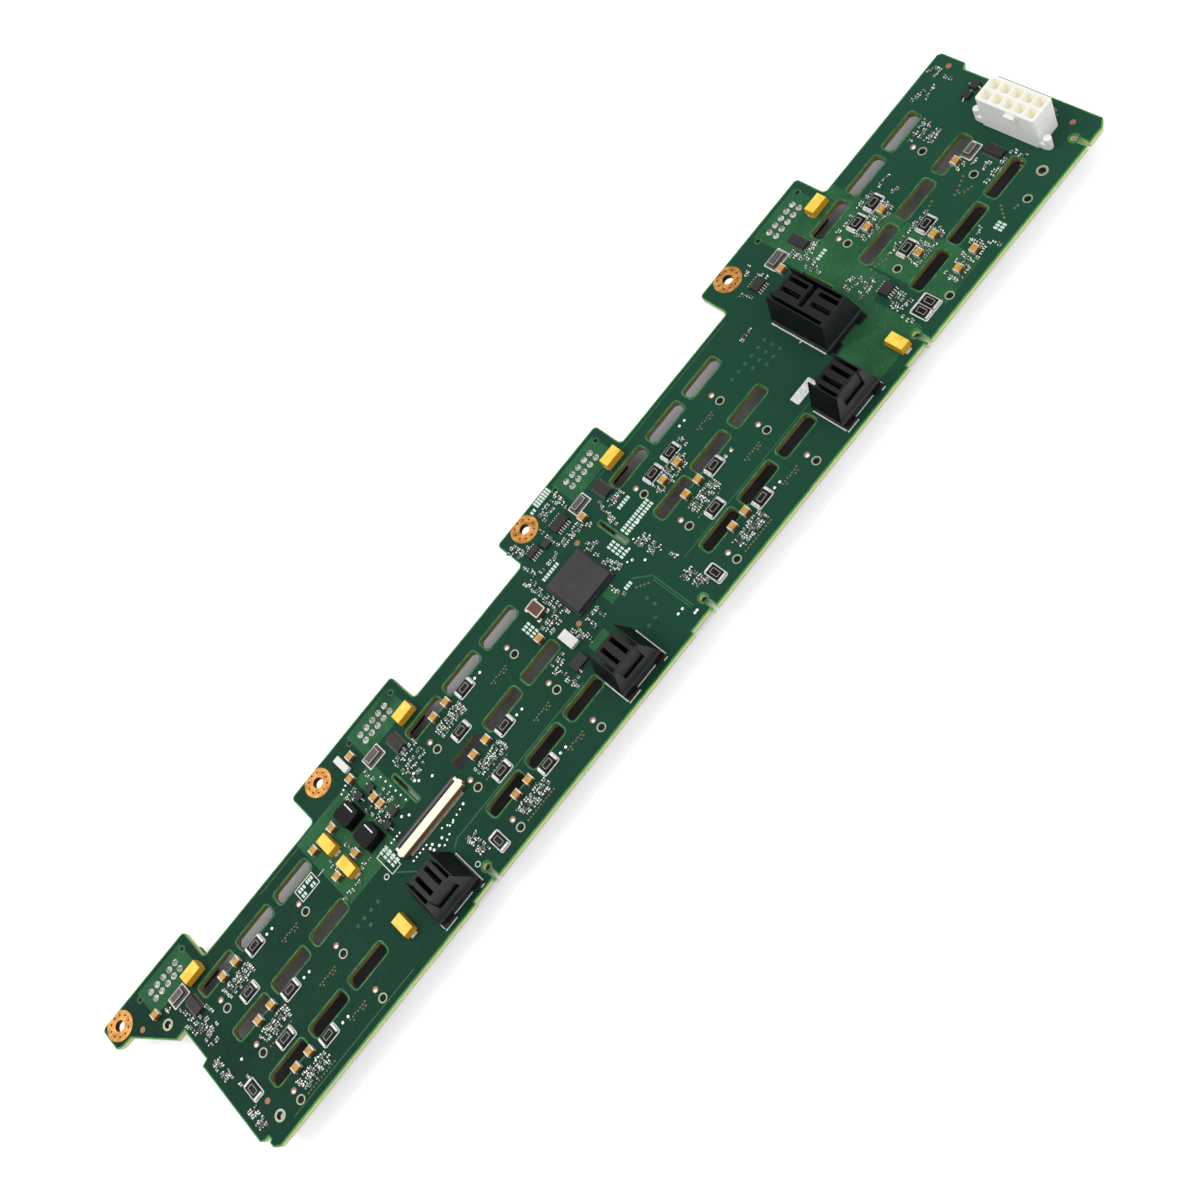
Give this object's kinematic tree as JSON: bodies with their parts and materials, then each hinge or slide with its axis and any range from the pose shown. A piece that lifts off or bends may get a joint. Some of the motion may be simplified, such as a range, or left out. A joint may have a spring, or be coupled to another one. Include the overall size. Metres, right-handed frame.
{
  "type": "drive backplane board",
  "caption": "Long tabbed circuit board with vents, drive receptacles and tab headers underneath, and cable connectors, a power header and soldered parts on top.",
  "frame": {"origin": "below the middle of the board, on the plane of the underside connectors' mouths", "axes": "+X along the board towards the power header, +Y towards the tabs, +Z from the drive side to the cable side"},
  "size_m": [0.4188, 0.0786, 0.0236],
  "materials": {
    "cable_connector_plastic": "black moulded, satin",
    "ceramic_body": "tan ceramic between tinned ends",
    "chip_resin": "black moulded resin",
    "circuit_board": "green solder mask over glass-epoxy, satin gloss",
    "contact_metal": "gold-flashed copper alloy",
    "controller_resin": "black moulded resin",
    "cream_plastic": "cream moulded",
    "drive_connector_plastic": "black moulded",
    "filter_body": "brown",
    "header_plastic": "black moulded",
    "inductor_ferrite": "black, dull",
    "lock_bar_plastic": "black moulded",
    "oscillator_lid": "nickel-plated lid",
    "power_header_plastic": "off-white nylon",
    "resistor_body": "black glaze between tinned ends",
    "tantalum_resin": "yellow moulded resin",
    "tinned_pins": "tinned",
    "white_ceramic": "white"
  },
  "bodies": {
    "board": {"bay_driver_chips": "chip_resin", "cable_connector_1": "cable_connector_plastic", "cable_connector_2": "cable_connector_plastic", "cable_connector_3": "cable_connector_plastic", "cable_connector_contacts": "contact_metal", "ceramic_capacitors": "ceramic_body", "circuit_board": "circuit_board", "controller_chip": "controller_resin", "double_cable_connector": "cable_connector_plastic", "drive_connector_r1c1": "drive_connector_plastic", "drive_connector_r1c2": "drive_connector_plastic", "drive_connector_r1c3": "drive_connector_plastic", "drive_connector_r1c4": "drive_connector_plastic", "drive_connector_r2c1": "drive_connector_plastic", "drive_connector_r2c2": "drive_connector_plastic", "drive_connector_r2c3": "drive_connector_plastic", "drive_connector_r2c4": "drive_connector_plastic", "drive_connector_r3c1": "drive_connector_plastic", "drive_connector_r3c2": "drive_connector_plastic", "drive_connector_r3c3": "drive_connector_plastic", "drive_connector_r3c4": "drive_connector_plastic", "flat_cable_contacts": "contact_metal", "flat_cable_housing": "cream_plastic", "four_pad_filter": "filter_body", "leadless_chips": "chip_resin", "oscillator_1": "oscillator_lid", "oscillator_2": "oscillator_lid", "oscillator_3": "oscillator_lid", "oscillator_4": "oscillator_lid", "oscillator_5": "oscillator_lid", "power_header": "power_header_plastic", "power_header_pins": "tinned_pins", "power_inductor_1": "inductor_ferrite", "power_inductor_2": "inductor_ferrite", "power_transistors": "chip_resin", "small_outline_chips": "chip_resin", "tab_header_1": "header_plastic", "tab_header_2": "header_plastic", "tab_header_3": "header_plastic", "tab_header_4": "header_plastic", "tab_header_pins": "tinned_pins", "tantalum_capacitor_1": "tantalum_resin", "tantalum_capacitor_2": "tantalum_resin", "tantalum_capacitor_3": "tantalum_resin", "tantalum_capacitor_4": "tantalum_resin", "tantalum_capacitor_5": "tantalum_resin", "tantalum_capacitor_6": "tantalum_resin", "tantalum_capacitor_7": "tantalum_resin", "tantalum_capacitor_8": "tantalum_resin", "white_chip_parts": "white_ceramic", "wide_resistors": "resistor_body"},
    "lock_bar": {"flat_cable_lock_bar": "lock_bar_plastic"}
  },
  "joints": [
    {"name": "lock_bar_flip", "type": "hinge", "parent": "board", "child": "lock_bar", "pos_m": [-0.08635, -0.0064, 0.01225], "axis": [1, 0, 0], "range_deg": [0, 90]}
  ]
}
